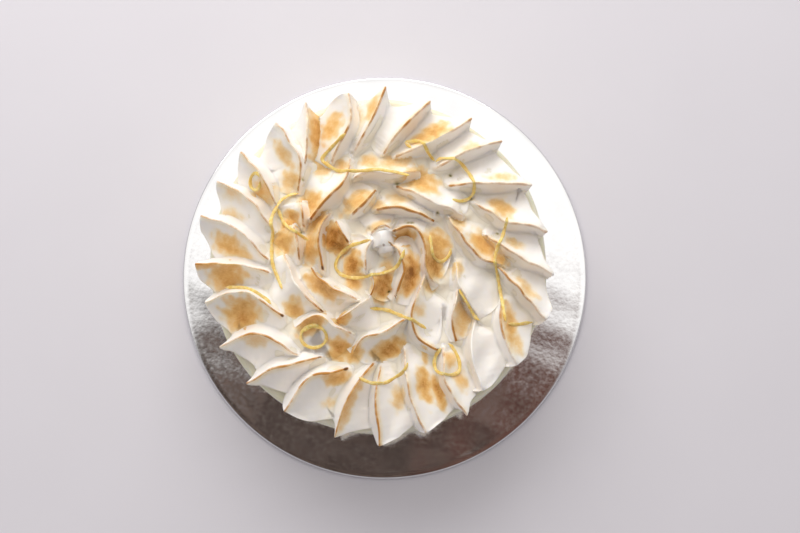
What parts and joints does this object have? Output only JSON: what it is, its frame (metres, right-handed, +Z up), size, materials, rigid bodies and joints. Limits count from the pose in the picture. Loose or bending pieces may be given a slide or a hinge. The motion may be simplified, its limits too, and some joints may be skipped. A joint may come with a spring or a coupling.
{
  "type": "lemon meringue pie",
  "caption": "Round lemon meringue pie with a smooth cream side, a swirl of torched meringue petals on top and a silver card beneath.",
  "frame": {"origin": "centre of the silver card's underside", "axes": "+Z up; +X to the right and +Y to the back as the pie is looked down on; the shortest extent is along Z"},
  "size_m": [0.254, 0.254, 0.078],
  "materials": {
    "silver_card": "embossed foil, semi-gloss",
    "lemon_cream": "smooth set cream, satin",
    "meringue": "soft satin meringue with torched patches"
  },
  "bodies": {
    "root": {"cake_card": "silver_card", "cake_body": "lemon_cream", "meringue_bed": "meringue", "outer_petal_01": "meringue", "outer_petal_02": "meringue", "outer_petal_03": "meringue", "outer_petal_04": "meringue", "outer_petal_05": "meringue", "outer_petal_06": "meringue", "outer_petal_07": "meringue", "outer_petal_08": "meringue", "outer_petal_09": "meringue", "outer_petal_10": "meringue", "outer_petal_11": "meringue", "outer_petal_12": "meringue", "outer_petal_13": "meringue", "outer_petal_14": "meringue", "outer_petal_15": "meringue", "outer_petal_16": "meringue", "outer_petal_17": "meringue", "outer_petal_18": "meringue", "outer_petal_19": "meringue", "outer_petal_20": "meringue", "outer_petal_21": "meringue", "outer_petal_22": "meringue", "outer_petal_23": "meringue", "outer_petal_24": "meringue", "outer_petal_25": "meringue", "middle_petal_01": "meringue", "middle_petal_02": "meringue", "middle_petal_03": "meringue", "middle_petal_04": "meringue", "middle_petal_05": "meringue", "middle_petal_06": "meringue", "middle_petal_07": "meringue", "middle_petal_08": "meringue", "middle_petal_09": "meringue", "middle_petal_10": "meringue", "middle_petal_11": "meringue", "middle_petal_12": "meringue", "inner_petal_01": "meringue", "inner_petal_02": "meringue", "inner_petal_03": "meringue", "inner_petal_04": "meringue", "inner_petal_05": "meringue", "inner_petal_06": "meringue", "inner_petal_07": "meringue", "inner_petal_08": "meringue", "inner_petal_09": "meringue", "centre_petal_01": "meringue"}
  },
  "joints": []
}
